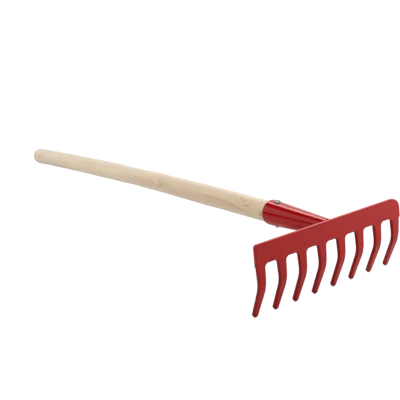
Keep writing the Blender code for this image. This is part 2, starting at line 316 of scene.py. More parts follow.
def plate_top(share):
    """The plate's top edge between the middles of its corners, at shares 0 to 1 of its run."""
    left, right = LEFT_END["corner"], RIGHT_END["corner"]
    start = -HALF_ROW - LEFT_END["reach"] + left
    straight = HALF_ROW + RIGHT_END["reach"] - right - start
    before, after = left * math.pi / 4, right * math.pi / 4
    run = share * (before + straight + after) - before
    flat = np.clip(run, 0, straight)
    left_turn = np.minimum(run, 0) / left
    right_turn = np.maximum(run - straight, 0) / right
    x = start + flat + left * np.sin(left_turn) + right * np.sin(right_turn)
    z = PLATE_HEIGHT - left * (1 - np.cos(left_turn)) - right * (1 - np.cos(right_turn))
    return np.column_stack([x, z])


def outward(outline):
    """Unit normals of a closed outline that runs anticlockwise: each point's neighbours' chord, turned.

    They are averaged with those nearby, by a bell curve of the way along, so that the rings drawn
    inside the outline don't cross at its corners.
    """
    following = np.roll(outline, -1, axis=0)
    chord = following - np.roll(outline, 1, axis=0)
    normal = np.column_stack([chord[:, 1], -chord[:, 0]]) / 2
    step = np.linalg.norm(following - outline, axis=1)
    along = np.cumsum(step) - step
    apart = np.abs(along[:, None] - along[None])
    apart = np.minimum(apart, step.sum() - apart)
    normal = np.exp(-(apart / NORMAL_REACH) ** 2) @ normal
    return normal / np.linalg.norm(normal, axis=1)[:, None]


def press_bend(blank):
    """Where the flat blank's points go when its tines are bent back.

    Below the straight length the blank's middle follows an arc of the bend's radius up to its angle,
    then a straight line, and a point off the middle by y stands off along the normal there.
    """
    x, y, z = np.moveaxis(blank, -1, 0)
    along = np.maximum(0.0, -z - STRAIGHT_LENGTH)
    angle = np.minimum(along / BEND_RADIUS, BEND_ANGLE)
    beyond = along - BEND_RADIUS * angle
    bent_y = BEND_RADIUS * (1 - np.cos(angle)) + beyond * np.sin(angle) + y * np.cos(angle)
    drop = BEND_RADIUS * np.sin(angle) + beyond * np.cos(angle)
    bent_z = np.maximum(z, -STRAIGHT_LENGTH) - drop + y * np.sin(angle)
    return points(x, bent_y, bent_z)


def edge_profile():
    """The blank's edge from the front face round to the back, as (inset, y, wall, edge).

    A quarter arc, the sheared wall and a quarter arc. wall is 1 on the sheared wall, which takes thinner
    paint and painted shade, and edge, the share of painted shade along the edges, is 1 where an arc leaves
    its face and falls off round the arc as a cosine.
    """
    angle = np.linspace(0, math.pi / 2, EDGE_STEPS + 1)
    inset = EDGE_RADIUS * (1 - np.sin(angle))
    y = EDGE_RADIUS - HALF_THICKNESS - EDGE_RADIUS * np.cos(angle)
    front = np.column_stack([inset, y, np.sin(angle) ** 2, np.cos(angle)])
    front = np.concatenate([[[RIM_WIDTH, -HALF_THICKNESS, 0, MARGIN_SHADE]], front])
    wall = np.linspace(y[-1], -y[-1], WALL_STEPS + 1)[1:-1, None] * [0, 1, 0, 0] + [0, 0, 1, 0]
    back = front[::-1] * [1, -1, 1, 1]
    return np.concatenate([front, wall, back])


def ladder(left, right, shares):
    """Rows of points from each point of the left side straight across to that of the right."""
    return left[:, None] + (right - left)[:, None] * shares[None, :, None]


def coons(bottom, top, left, right, shares):
    """A patch inside four lines: the blend up and down plus that across, less the blend of the corners."""
    s = shares[None, :, None]
    t = np.linspace(0, 1, len(left))[:, None, None]
    across = (1 - s) * left[:, None] + s * right[:, None]
    upwards = (1 - t) * bottom[None] + t * top[None]
    low = (1 - s) * bottom[0] + s * bottom[-1]
    high = (1 - s) * top[0] + s * top[-1]
    return across + upwards - (1 - t) * low - t * high


def tip_shade(z):
    """How much painted shade the tine carries at heights z: none above the start, then a soft step to the
    tip.
    """
    return TIP_SHADE * smooth((-z - TIP_SHADE_START) / (TINE_LENGTH - TIP_SHADE_START))


def gap_points():
    """Where the points of a gap's top stand, measured from the centre of the tine to its left."""
    root = inner_side()[0, 0]
    return np.linspace(root, TINE_PITCH - root, GAP_STEPS + 1)[1:-1]


def column_shares():
    """The plate's columns, across each tine's root and along each gap, as shares of the plate's width."""
    root = inner_side()[0, 0]
    columns = []
    for k, centre in enumerate(TINE_CENTRES):
        low = centre - (root if k else LEFT_END["reach"] - RIM_WIDTH)
        high = centre + (root if k < TINE_COUNT - 1 else RIGHT_END["reach"] - RIM_WIDTH)
        columns += [low + (high - low) * TINE_SHARES, gap_points() + centre]
    columns = np.concatenate(columns[:-1])
    return (columns - columns[0]) / (columns[-1] - columns[0])


def head_outline(shares):
    """The blank's outline, the number of each tine's first point in it, and that of the right end's.

    It runs down and up each tine from left to right, up the plate's right end, back along its top and
    down its left end.
    """
    inner = inner_side()
    run = []
    starts = []
    for k, centre in enumerate(TINE_CENTRES):
        left = outer_side(LEFT_END) if k == 0 else inner
        right = outer_side(RIGHT_END) if k == TINE_COUNT - 1 else inner
        starts.append(sum(len(part) for part in run))
        gap = np.column_stack([gap_points(), np.zeros(GAP_STEPS - 1)])
        run += [left * [-1, 1] + [centre, 0], right[-2::-1] + [centre, 0], gap + [centre, 0]]
    run.pop()
    end_start = sum(len(part) for part in run)
    run += [plate_end(RIGHT_END), plate_top(shares[-2:0:-1]), plate_end(LEFT_END)[::-1] * [-1, 1]]
    return np.concatenate(run), starts, end_start


def head_rim(outline):
    """The blank's rounded edge with its marks: at each point of the profile, the outline moved inwards."""
    profile = edge_profile()
    ring = outline[None] - profile[:, :1, None] * outward(outline)[None]
    ring = np.concatenate([ring, ring[:, :1]], axis=1)
    x, z = np.moveaxis(ring, -1, 0)
    depth, wall, edge = profile.T[1:, :, None]
    # The marks: the sheared walls take thinner paint that also stands for the shade on the tines' sides, a
    # painted highlight lies along the plate's top wall, and edge is painted shade along the edges and at the
    # tips
    bare = 1 - PLATE_WALL_RELIEF * smooth(z / FLARE_HEIGHT)
    crest_highlight = smooth(1 - (PLATE_HEIGHT - z) / CREST_HIGHLIGHT_DEPTH)
    marks = {"sheared": wall * bare, "crest_highlight": wall * crest_highlight, "edge": np.maximum(edge, tip_shade(z))}
    return points(x, depth, z), marks


def head_faces(inside, starts, end_start, shares):
    """What the rim's innermost ring encloses: a ladder down each tine, and a patch for the plate.

    With each goes the mark of the painted shade along its border.
    """
    rows = len(inner_side())
    sides = np.zeros(TINE_STEPS + 1)
    sides[[0, -1]] = MARGIN_SHADE
    faces = []
    bottom = []
    for start in starts:
        tip = start + rows - 1
        right_foot = tip + rows - 1
        left, right = inside[start:tip + 1], inside[tip:right_foot + 1][::-1]
        faces.append(ladder(left, right, TINE_SHARES))
        bottom += [faces[-1][0], inside[right_foot + 1:right_foot + GAP_STEPS]]
    top_start = end_start + END_STEPS - 1
    top_end = top_start + len(shares) - 1
    right_end = inside[right_foot:top_start + 1]
    top = inside[top_start:top_end + 1][::-1]
    faces.append(coons(np.concatenate(bottom[:-1]), top, inside[top_end:][::-1], right_end, shares))
    border = np.full(faces[-1].shape[:2], MARGIN_SHADE)
    border[1:-1, 1:-1] = 0
    border[0] = np.tile(np.append(sides, [MARGIN_SHADE] * (GAP_STEPS - 1)), TINE_COUNT)[:len(shares)]
    return faces, [sides] * TINE_COUNT + [border]


def head_grids():
    """The blank's rim and its two faces, all bent, with their marks."""
    shares = column_shares()
    outline, starts, end_start = head_outline(shares)
    rim, rim_marks = head_rim(outline)
    faces, borders = head_faces(rim[0][:, [0, 2]], starts, end_start, shares)
    grids = [rim]
    marks = {mark: [values] for mark, values in rim_marks.items()}
    for side in (-1, 1):
        for face, border in zip(faces, borders):
            x, z = np.moveaxis(face, -1, 0)
            grids.append(points(x, side * HALF_THICKNESS, z))
            marks["sheared"].append(0)
            marks["crest_highlight"].append(0)
            marks["edge"].append(np.maximum(border, tip_shade(z)))
    return [press_bend(grid) for grid in grids], marks


# The rolled socket

def cone_radius(y):
    """Outer radius of the socket: it grows evenly from foot to mouth."""
    return FOOT_RADIUS + CONE_SLOPE * (y - SOCKET_FOOT)


def rivet_ends():
    """The points of the socket's surface under the rivet's head and over its tail."""
    head_y = SOCKET_MOUTH - RIVET_HEAD_INSET
    tail_y = SOCKET_MOUTH - RIVET_TAIL_INSET
    pinch = max(0.0, CONE_SLOPE * (tail_y - PINCH_START))
    head = Vector((0, head_y, SOCKET_HEIGHT + cone_radius(head_y)))
    tail = Vector((0, tail_y, SOCKET_HEIGHT - cone_radius(tail_y) + pinch))
    return head, tail


def hump(x, y, z, centre, radius):
    """1 at a centre, falling off as the bell curve of the distance over a radius."""
    squared = (x - centre[0]) ** 2 + (y - centre[1]) ** 2 + (z - centre[2]) ** 2
    return np.exp(-squared / radius ** 2)


def socket_grid(length_steps=84, lip_steps=8, inner_steps=40, turn_steps=150, hem_steps=5):
    """A rolled cone as angle by section: out along the outside, round the lip and back along the inside.

    A point's radius is the sheet's middle plus or minus half its thickness. The thickness shrinks as a
    half circle at the two edges along the seam, so that the grid closes on itself there. The underside
    is drawn in near the mouth by the cone's slope times the way past where the pinch begins, times the
    downward share of the direction, and bulges out by a bell curve of the way along times that share.
    The mouth leans by the upward share. A bell of radial offset is added round each end of the rivet.
    The edge mark, painted shade round the lip, rises to the mouth as a soft step.
    """
    seam = SEAM_WIDTH / MOUTH_RADIUS / 2
    hem = SHEET / 2 / MOUTH_RADIUS
    round_hem = np.linspace(0, math.pi / 2, hem_steps + 1)
    start = seam + hem * (1 - np.cos(round_hem))
    middle = np.linspace(start[-1], 2 * math.pi - start[-1], turn_steps + 1)[1:-1]
    angle = np.concatenate([start, middle, 2 * math.pi - start[::-1]]) - math.pi / 2
    full = np.ones(turn_steps - 1)
    thickness = SHEET * np.concatenate([np.sin(round_hem), full, np.sin(round_hem)[::-1]])[:, None]

    rim_y = SOCKET_MOUTH - SHEET / 2
    out_y = np.linspace(SOCKET_FOOT, rim_y, length_steps + 1)
    lip = np.linspace(0, math.pi, lip_steps + 1)[1:-1]
    in_y = np.linspace(rim_y, SOCKET_FOOT, inner_steps + 1)
    station = np.concatenate([out_y, np.full(lip_steps - 1, rim_y), in_y, [SOCKET_FOOT]])[None]
    side = np.concatenate([np.ones(length_steps + 1), np.cos(lip), -np.ones(inner_steps + 1), [1.0]])[None]
    beyond = np.concatenate([np.zeros(length_steps + 1), np.sin(lip), np.zeros(inner_steps + 2)])[None]

    radius = cone_radius(station) - SHEET / 2 + side * thickness / 2
    y = station + beyond * thickness / 2
    marks = {"edge": [LIP_SHADE * smooth(2 * (1 - (SOCKET_MOUTH - y) / LIP_SHADE_REACH))]}
    down = np.maximum(0, -np.sin(angle))[:, None]
    radius = radius - np.maximum(0, CONE_SLOPE * (y - PINCH_START)) * down
    radius = radius + BELLY * np.exp(-((y - BELLY_MIDDLE) / BELLY_REACH) ** 2) * down
    cos, sin = np.cos(angle)[:, None], np.sin(angle)[:, None]
    y = y + MOUTH_LEAN * sin * smooth(1 - (SOCKET_MOUTH - y) / LEAN_LENGTH)
    head, tail = rivet_ends()
    x, z = radius * cos, SOCKET_HEIGHT + radius * sin
    radius = radius + TAIL_BULGE * hump(x, y, z, tail, DENT_RADIUS)
    radius = radius - HEAD_DENT * hump(x, y, z, head, DENT_RADIUS)
    return [points(radius * cos, y, SOCKET_HEIGHT + radius * sin)], marks


# The weld

def weld_grid(run_steps=300, bead_steps=14):
    """A fillet bead along an arc round the socket's foot, as run by section.

    The section is a quarter circle between plate and socket, closed behind. Its leg swells from both
    ends of the run, and a slow sine and ripples are added: the unsigned sine of the run times their
    number, less its mean, bent back at the section's middle as a cooled weld pool is.
    """
    corner = np.array([FOOT_RADIUS - FIT, HALF_THICKNESS - FIT])
    run = np.linspace(0, 1, run_steps + 1)[:, None]
    section = np.linspace(0, math.pi / 2, bead_steps + 1)[None]
    swell = smooth(np.minimum(run, 1 - run) / WELD_RUN_OUT)
    leg = WELD_END_LEG + (WELD_LEG + FIT - WELD_END_LEG) * swell
    phase = 2 * math.pi * WELD_RIPPLES * run + WELD_POOL_BEND * np.sin(2 * section)
    ripple = np.abs(np.sin(phase / 2)) - WELD_RIPPLE_MEAN
    leg = leg + WELD_RIPPLE_HEIGHT * swell * np.sin(2 * section) * ripple
    height, over, first = WELD_SWAY
    leg = leg + height * np.sin(over * run + first) * swell
    bead = corner + leg[..., None] * np.stack([np.cos(section), np.sin(section)], axis=-1)
    bead[..., 0] += CONE_SLOPE * (bead[..., 1] - corner[1])
    behind = np.broadcast_to(corner, (run_steps + 1, 1, 2))
    bead = np.concatenate([behind, bead, behind], axis=1)
    # both ends close on the corner's point
    end = np.broadcast_to(corner, (1, *bead.shape[1:]))
    radius, y = np.moveaxis(np.concatenate([end, bead, end]), -1, 0)
    turn = np.concatenate([run[:1], run, run[-1:]])
    angle = math.pi / 2 + WELD_OPEN_ANGLE / 2 + (2 * math.pi - WELD_OPEN_ANGLE) * turn
    return [points(radius * np.cos(angle), y, SOCKET_HEIGHT + radius * np.sin(angle))], {}


# The handle

def handle_radius(y):
    """Radius of the stick: inside the socket it follows the cone, outside it swells slowly to its end."""
    share = np.maximum(0, (y - SOCKET_MOUTH) / HANDLE_LENGTH)
    outside = HANDLE_MOUTH_RADIUS + (HANDLE_END_RADIUS - HANDLE_MOUTH_RADIUS) * share
    return np.minimum(outside, cone_radius(y) - SHEET - FIT)


# Grain and stains that the stick shows on its side, as (millimetres along, degrees round from +X, heading
# in degrees from along towards round, half length and half width in millimetres, strength)
GRAIN = {
    "rosy": [
        (678, 158, 0, 13, 3, 0.9), (534, 194, 0, 10, 1.6, 0.6), (338, 180, 0, 32, 4.2, 1),
        (258, 188, 0, 32, 3.2, 0.7), (168, 181, 0, 42, 3.2, 0.8), (178, 109, 0, 28, 2, 0.6),
        (245, 145, 0, 20, 2.2, 0.5),
    ],
    "brown": [
        (347, 155.5, 0, 25, 0.6, 0.69), (312, 170, 164, 12, 0.8, 0.75), (297, 146, 129, 4.5, 0.8, 1),
        (290, 152, 129, 6, 0.8, 1), (291, 170, 10, 10, 2.2, 0.62), (276, 156, 171, 9, 0.9, 0.69),
        (182, 161, 0, 30, 1.4, 0.62), (138, 177, 171, 26, 1.5, 0.62), (574, 170, 4, 14, 1.4, 0.28),
        (250, 196, 176, 22, 0.9, 0.44), (226, 174, 2, 34, 0.7, 0.35), (200, 186, 1, 36, 0.8, 0.35),
        (150, 168, 2, 26, 0.7, 0.3), (156, 191, 0, 26, 0.8, 0.35), (250, 165, 1, 26, 0.6, 0.3),
        (395, 176, 1, 40, 0.7, 0.25),
    ],
    "grey": [
        (130.3, 123, 0, 1.6, 1.2, 0.5), (120.3, 155, 3, 4.4, 1, 0.55), (115.8, 154, 0, 1.6, 1.2, 0.5),
        (92.5, 180, 90, 3.6, 2.8, 0.65), (124, 134, 8, 5, 1.6, 0.22), (112, 138, 90, 6, 2.2, 0.2),
        (134, 150, 0, 3, 1.2, 0.2), (105, 160, 80, 4, 1.6, 0.18),
    ],
}


def grain_marks(y, angle):
    """Each kind of mark at points of the stick: one less the product of what its blots leave bare.

    A blot is its strength times the bell curve of the way along it over its half length and of the way
    across it over its half width, the way round being the angle from the blot's times the radius.
    """
    marks = {}
    for kind, blots in GRAIN.items():
        bare = 1.0
        for along, around, heading, half_length, half_width, strength in blots:
            off = (angle - math.radians(around) + math.pi) % (2 * math.pi) - math.pi
            u, v = y / MM - along, HANDLE_END_RADIUS / MM * off
            cos, sin = math.cos(math.radians(heading)), math.sin(math.radians(heading))
            reach = ((u * cos + v * sin) / half_length) ** 2 + ((v * cos - u * sin) / half_width) ** 2
            bare = bare * (1 - strength * np.exp(-reach))
        marks[kind] = [1 - bare]
    return marks


def handle_grid(turn_steps=120, length_steps=520, dome_steps=22):
    """A turned stick as section by angle: tenon, long body and a domed end, bowed upwards.

    The bow lifts a point by the bow's height times 4s(1 - s), s being its share of the length outside
    the socket. Slow sines of the way along and round leave the stick a little out of true, and bell
    curves of the way along add its swellings.
    """
    tenon = SOCKET_MOUTH - TENON_LENGTH
    dome = HANDLE_END - HANDLE_DOME
    body = np.linspace(tenon + TENON_CHAMFER, dome, length_steps + 1)
    arc = np.linspace(0, math.pi / 2, dome_steps + 1)[1:]
    start = handle_radius(tenon) - TENON_CHAMFER
    end = handle_radius(dome)
    y = np.concatenate([[tenon, tenon], body, dome + HANDLE_DOME * np.sin(arc)])[:, None]
    radius = np.concatenate([[0, start], handle_radius(body), end * np.cos(arc)])[:, None]
    angle = np.linspace(0, 2 * math.pi, turn_steps + 1)[None]
    wave = sum(height * np.sin(along * y + around * angle + first)
               for height, along, around, first in TURNING_WAVES)
    outside = smooth((y - SOCKET_MOUTH) / WAVES_FADE_IN) * smooth((dome - y) / WAVES_FADE_OUT)
    radius = radius * (1 + wave * outside / HANDLE_END_RADIUS)
    share = np.maximum(0, (y - SOCKET_MOUTH) / HANDLE_LENGTH)
    lift = SOCKET_HEIGHT + HANDLE_BOW * 4 * share * (1 - share)
    for along, growth, rise, reach in SWELLS:
        bell = np.exp(-((y / MM - along) / reach) ** 2) * outside * MM
        radius = radius + growth * bell * (radius > 0)
        lift = lift + rise * bell
    return [points(radius * np.cos(angle), y, lift + radius * np.sin(angle))], grain_marks(y, angle)


# The rivet

def rivet_grid(turn_steps=72, head_steps=30, rim_steps=4, tail_steps=14):
    """A turned profile on the line from the tail's centre to the head's.

    The head's height falls from its crown as one less a power of the radius's share, less a bell for
    the punched dimple, down to a rim with a rounded edge. The tail is a low dome, a little out of round.
    """
    head, tail = rivet_ends()
    base = (head - tail).length - HEAD_DENT
    share = np.linspace(0, 1, head_steps + 1)
    radius = RIVET_HEAD_RADIUS * share
    dimple = np.exp(-(radius / RIVET_DIMPLE_RADIUS) ** RIVET_DIMPLE_POWER)
    height = RIVET_RIM + (RIVET_HEAD_HEIGHT - RIVET_RIM) * (1 - share ** RIVET_CROWN_POWER)
    height = height - RIVET_DIMPLE_DEPTH * dimple
    turn = np.linspace(0, math.pi / 2, rim_steps + 1)[1:]
    rim_r = RIVET_HEAD_RADIUS - RIVET_RIM * RIVET_RIM_TUCK * (1 - np.cos(turn))
    rim_h = RIVET_RIM * (1 - np.sin(turn))
    tail_turn = np.linspace(0, math.pi / 2, tail_steps + 1)
    tail_r = RIVET_TAIL_RADIUS * np.cos(tail_turn)
    tail_h = -TAIL_BULGE - RIVET_TAIL_HEIGHT * np.sin(tail_turn) ** RIVET_TAIL_POWER
    profile_r = np.concatenate([radius, rim_r, [RIVET_SHANK_RADIUS] * 2, tail_r])[:, None]
    profile_h = np.concatenate([base + height, base + rim_h, [base, 0], tail_h])[:, None]
    angle = np.linspace(0, 2 * math.pi, turn_steps + 1)[None]
    strength, lobes, first = RIVET_TAIL_UNEVEN
    profile_r = profile_r * (1 + strength * np.sin(lobes * angle + first) * (profile_h < 0))
    grid = points(profile_r * np.cos(angle), profile_h, -profile_r * np.sin(angle))
    turn = np.array(Vector((0, 1, 0)).rotation_difference(head - tail).to_matrix())
    # the rim, shank and tail take dark red paint that also stands for the shade under the head's rim; the
    # hollow takes painted shade
    painted = np.arange(len(grid)) >= len(radius) - 1
    hollow = np.pad(dimple, (0, len(grid) - len(radius)))
    return [grid @ turn.T + np.array(tail)], {"painted": [painted[:, None]], "hollow": [hollow[:, None]]}


# Materials

def feed(tree, node, values):
    """Give a node's sockets, by name or number, a link, a number or a colour each."""
    for socket, value in values.items():
        if isinstance(value, bpy.types.NodeSocket):
            tree.links.new(value, node.inputs[socket])
        else:
            node.inputs[socket].default_value = value


def new_node(tree, kind, values=None, **settings):
    """Add a shader node, with what feeds its sockets and settings for its own fields."""
    node = tree.nodes.new("ShaderNode" + kind)
    for field, value in settings.items():
        setattr(node, field, value)
    feed(tree, node, values or {})
    return node


def math_node(tree, operation, *values, clamp=False):
    """A Math node of links or numbers."""
    values = dict(enumerate(values))
    return new_node(tree, "Math", values, operation=operation, use_clamp=clamp).outputs[0]


def mix_colour(tree, factor, first, second):
    """A colour Mix node of links or colours."""
    return new_node(tree, "Mix", {0: factor, 6: first, 7: second}, data_type="RGBA").outputs[2]


def noise(tree, vector, scale, detail, roughness=0.5):
    """A noise texture's value on a vector. Three scales stretch the vector on its axes first."""
    if isinstance(scale, tuple):
        vector = new_node(tree, "Mapping", {"Vector": vector, "Scale": scale}).outputs[0]
        scale = 1.0
    values = {"Vector": vector, "Scale": scale, "Detail": detail, "Roughness": roughness}
    return new_node(tree, "TexNoise", values).outputs[0]


def ramp_value(tree, value, low, high, out_low=0.0, out_high=1.0):
    """A smooth Map Range from low and high to two other numbers."""
    values = {"Value": value, "From Min": low, "From Max": high, "To Min": out_low, "To Max": out_high}
    return new_node(tree, "MapRange", values, interpolation_type="SMOOTHSTEP").outputs[0]


def point_mark(tree, name):
    """The value of a mark that the mesh carries at its points."""
    return new_node(tree, "Attribute", attribute_name=name).outputs["Fac"]


def bump(tree, height, distance):
    """The normal that a height of up to a distance in metres makes."""
    return new_node(tree, "Bump", {"Height": height, "Distance": distance}).outputs[0]


def principled(name):
    """A new material, its tree, its shader and the object's own coordinates in it."""
    material = bpy.data.materials.new(name)
    material.use_nodes = True
    tree = material.node_tree
    place = new_node(tree, "TexCoord").outputs["Object"]
    return material, tree, tree.nodes["Principled BSDF"], place


# The paint's reds: whole on each piece, thin and in painted shade on the walls, in painted shade along the
# edges, as a painted highlight on the plate's top edge, and dusty
HEAD_RED = (0.375, 0.003, 0.004, 1)
SOCKET_RED = (0.37, 0.001, 0.003, 1)
WELD_RED = (0.36, 0.003, 0.004, 1)
THIN_AND_SHADED_RED = (0.26, 0.002, 0.003, 1)
EDGE_SHADE_RED = (0.14, 0.002, 0.003, 1)
CREST_HIGHLIGHT_RED = (0.55, 0.003, 0.004, 1)
DUSTY_RED = (0.3, 0.05, 0.045, 1)
# Noise in the paint, as (scale, detail): its uneven film, orange peel, sags and dust
FILM = (42, 3)
PEEL = (780, 2)
SAG = (190, 1)
SPECKS = (1500, 1)
# What is made of them, as ramps from two values of the noise to two others
THIN_SPOTS = (0.3, 0.7, 0.0, 0.16)
WALL_THIN_AND_SHADE = (0.25, 0.6, 0.75, 1.0)
DUST = (0.7, 0.76, 0.0, 0.25)
EDGE_SHADE_RAMP = (0.3, 0.65, 0.33, 0.6)
ENAMEL_ROUGHNESS = (0.3, 0.7, 0.05, 0.1)
DUST_ROUGHNESS = 0.8
PEEL_SHARE = 0.35
ENAMEL_BUMP = 0.00001
HEAD_GLOSS_LOSS = 0.06
ENAMEL_GLOSS = 1.0
ENAMEL_SHINE = (1.0, 0.4, 0.36, 1)      # the photograph shows the enamel's reflections pink
ENAMEL_GLANCE = 0.35        # and a red glow where it is seen at a glancing angle
ENAMEL_GLANCE_ROUGHNESS = 0.35
ENAMEL_GLANCE_COLOUR = (1.0, 0.1, 0.09, 1)


def paint_skin_group():
    """Sprayed gloss enamel: uneven film, fine orange peel, thinner paint with painted shade on sheared
    walls, painted shade along edges.
    """
    tree = bpy.data.node_groups.new("paint_skin", "ShaderNodeTree")
    for in_out, sockets in (
            ("INPUT", {"Place": "Vector", "Full coat": "Color", "Thin coat": "Color",
                       "Sheared": "Float", "Edge": "Float", "Gloss loss": "Float"}),
            ("OUTPUT", {"Colour": "Color", "Roughness": "Float", "Height": "Float"})):
        for name, kind in sockets.items():
            tree.interface.new_socket(name=name, in_out=in_out, socket_type="NodeSocket" + kind)
    enter = tree.nodes.new("NodeGroupInput").outputs
    film, peel, sag, specks = (noise(tree, enter["Place"], *kind) for kind in (FILM, PEEL, SAG, SPECKS))
    # the sheared walls take the thin coat, which also paints in the shade on the tines' sides
    thin = math_node(tree, "MULTIPLY_ADD", enter["Sheared"], ramp_value(tree, film, *WALL_THIN_AND_SHADE),
                     ramp_value(tree, film, *THIN_SPOTS), clamp=True)
    colour = mix_colour(tree, thin, enter["Full coat"], enter["Thin coat"])
    dust = ramp_value(tree, specks, *DUST)
    colour = mix_colour(tree, dust, colour, DUSTY_RED)
    # painted shade: darker red along the edges, round the socket's lip and at the tines' tips
    painted_edge_shade = math_node(tree, "MULTIPLY", enter["Edge"], ramp_value(tree, sag, *EDGE_SHADE_RAMP))
    colour = mix_colour(tree, painted_edge_shade, colour, EDGE_SHADE_RED)
    rough = ramp_value(tree, film, *ENAMEL_ROUGHNESS)
    rough = math_node(tree, "MULTIPLY_ADD", enter["Sheared"], enter["Gloss loss"], rough)
    rough = math_node(tree, "MULTIPLY_ADD", dust, DUST_ROUGHNESS, rough)
    height = math_node(tree, "MULTIPLY_ADD", peel, PEEL_SHARE, sag)
    leave = tree.nodes.new("NodeGroupOutput")
    feed(tree, leave, {"Colour": colour, "Roughness": rough, "Height": height})
    return tree


PAINT_SKIN = paint_skin_group()


def red_enamel(name, full, marks, gloss_loss=0.0):
    """Gloss red paint, with its film from the shared group and the marks that the piece carries."""
    material, tree, shader, place = principled(name)
    skin = new_node(tree, "Group", {
        "Place": place, "Full coat": full, "Thin coat": THIN_AND_SHADED_RED, "Gloss loss": gloss_loss,
    }, node_tree=PAINT_SKIN)
    for mark in marks:
        value = point_mark(tree, mark)
        # a brighter red on the plate's top wall is a painted highlight
        if mark == "crest_highlight":
            feed(tree, skin, {"Full coat": mix_colour(tree, value, full, CREST_HIGHLIGHT_RED)})
        else:
            feed(tree, skin, {mark.capitalize(): value})
    feed(tree, shader, {
        "Base Color": skin.outputs["Colour"], "Roughness": skin.outputs["Roughness"],
        "Specular IOR Level": ENAMEL_GLOSS, "Specular Tint": ENAMEL_SHINE,
        "Sheen Weight": ENAMEL_GLANCE, "Sheen Roughness": ENAMEL_GLANCE_ROUGHNESS,
        "Sheen Tint": ENAMEL_GLANCE_COLOUR, "Normal": bump(tree, skin.outputs["Height"], ENAMEL_BUMP),
    })
    return material


SAPWOOD_YELLOW = (0.79, 0.672, 0.44, 1)
SAPWOOD_ROSY = (0.775, 0.62, 0.437, 1)
OLD_WOOD = (0.745, 0.585, 0.375, 1)     # what the sapwood turns to near the socket
HEARTWOOD = (0.71, 0.5, 0.335, 1)
LATEWOOD = (0.6, 0.44, 0.3, 1)
FLECK_BROWN = (0.42, 0.31, 0.21, 1)
KNOT_BROWN = (0.54, 0.345, 0.175, 1)
STAIN_GREY = (0.28, 0.19, 0.08, 1)
# Noise in the wood, as (scales across, along and across the stick), detail and roughness
WOOD_NOISE = {
    "tints": ((60, 17, 60), 2), "warm": ((95, 11, 95), 3), "wobble": ((22, 5, 22), 2),
    "fibres": ((1900, 70, 1900), 3, 0.6), "flecks": ((900, 130, 900), 1), "streaks": ((420, 32, 420), 2),
}
# Growth rings: how far the tree's heart lies from the stick in X and Z, how far the rings stray from
# circles, and how many there are in a metre
HEART = {"X": 0.021, "Z": 0.035}
RING_WOBBLE = 0.006
RINGS = 410.0
RING_RAMP = (0.35, 1.0, 0.0)
# What colours the wood, layer upon layer: a noise, its ramp to the layer's share, and the colour
WOOD_LAYERS = [
    ("tints", (0.32, 0.68, 0.0, 1.0), SAPWOOD_ROSY),
    ("along", (0.14, 0.45, 0.8, 0.0), OLD_WOOD),
    ("warm", (0.5, 0.74, 0.0, 0.45), HEARTWOOD),
    ("rings", (*RING_RAMP, 0.12), LATEWOOD),
    ("fibres", (0.35, 0.75, 0.0, 0.28), LATEWOOD),
    ("streaks", (0.5, 0.75, 0.0, 0.4), HEARTWOOD),
    ("flecks", (0.68, 0.8, 0.0, 0.4), FLECK_BROWN),
]
WOOD_MARKS = {"rosy": HEARTWOOD, "brown": KNOT_BROWN, "grey": STAIN_GREY}
MARK_BREAKS = (0.2, 0.6, 0.75, 1.1)     # how the fibres break a mark up
WOOD_ROUGHNESS = (0.3, 0.7, 0.5, 0.62)
WOOD_BUMP = 0.00003
RING_RELIEF = 0.5           # how far the rings stand out beside the fibres
WOOD_FUZZ = 0.4
FUZZ_ROUGHNESS = 0.45
FUZZ_GREY = (0.42, 0.6, 0.88, 1)        # the fuzz of sanding looks cool and pale at a glancing angle


def bare_wood():
    """Sanded pale wood: slow tints, growth rings cut along the stick, fibres, flecks, a knot and stains."""
    material, tree, shader, place = principled("bare_wood")
    turn = TO_ROW.inverted()
    tool = new_node(tree, "Mapping", {
        "Vector": place, "Location": turn.to_translation(), "Rotation": turn.to_euler()}).outputs[0]
    grain = {name: noise(tree, tool, *kind) for name, kind in WOOD_NOISE.items()}
    axes = new_node(tree, "SeparateXYZ", {0: tool}).outputs
    squares = [math_node(tree, "POWER", math_node(tree, "ADD", axes[axis], off), 2.0)
               for axis, off in HEART.items()]
    reach = math_node(tree, "SQRT", math_node(tree, "ADD", *squares))
    reach = math_node(tree, "MULTIPLY_ADD", grain["wobble"], RING_WOBBLE, reach)
    grain["rings"] = math_node(tree, "FRACT", math_node(tree, "MULTIPLY", reach, RINGS))
    grain["along"] = axes["Y"]
    colour = SAPWOOD_YELLOW
    for name, ramp, tint in WOOD_LAYERS:
        colour = mix_colour(tree, ramp_value(tree, grain[name], *ramp), colour, tint)
    fibres = grain["fibres"]
    for mark, tint in WOOD_MARKS.items():
        breaks = ramp_value(tree, fibres, *MARK_BREAKS)
        share = math_node(tree, "MULTIPLY", point_mark(tree, mark), breaks, clamp=True)
        colour = mix_colour(tree, share, colour, tint)
    height = math_node(tree, "ADD", fibres, ramp_value(tree, grain["rings"], *RING_RAMP, RING_RELIEF))
    feed(tree, shader, {
        "Base Color": colour, "Roughness": ramp_value(tree, fibres, *WOOD_ROUGHNESS),
        "Sheen Weight": WOOD_FUZZ, "Sheen Roughness": FUZZ_ROUGHNESS, "Sheen Tint": FUZZ_GREY,
        "Normal": bump(tree, height, WOOD_BUMP),
    })
    return material


ZINC_BRIGHT = (0.52, 0.51, 0.47, 1)
ZINC_GREY = (0.34, 0.33, 0.29, 1)
# dark red paint on the rivet's rim, shank and tail, which also paints the shade under the head's rim
PAINT_DAUB_AND_SHADE = (0.14, 0.012, 0.012, 1)
# painted shade in the rivet's punched hollow
HOLLOW_SHADE_GREY = (0.06, 0.06, 0.05, 1)
HOLLOW_SHADE_SHARE = 0.9
ZINC_FILM = (900, 3)
TOOL_MARKS = ((3000, 3000, 500), 2)
ZINC_CLOUDS = (0.35, 0.7)
ZINC_ROUGHNESS = (0.3, 0.7, 0.34, 0.46)
ZINC_BUMP = 0.000012


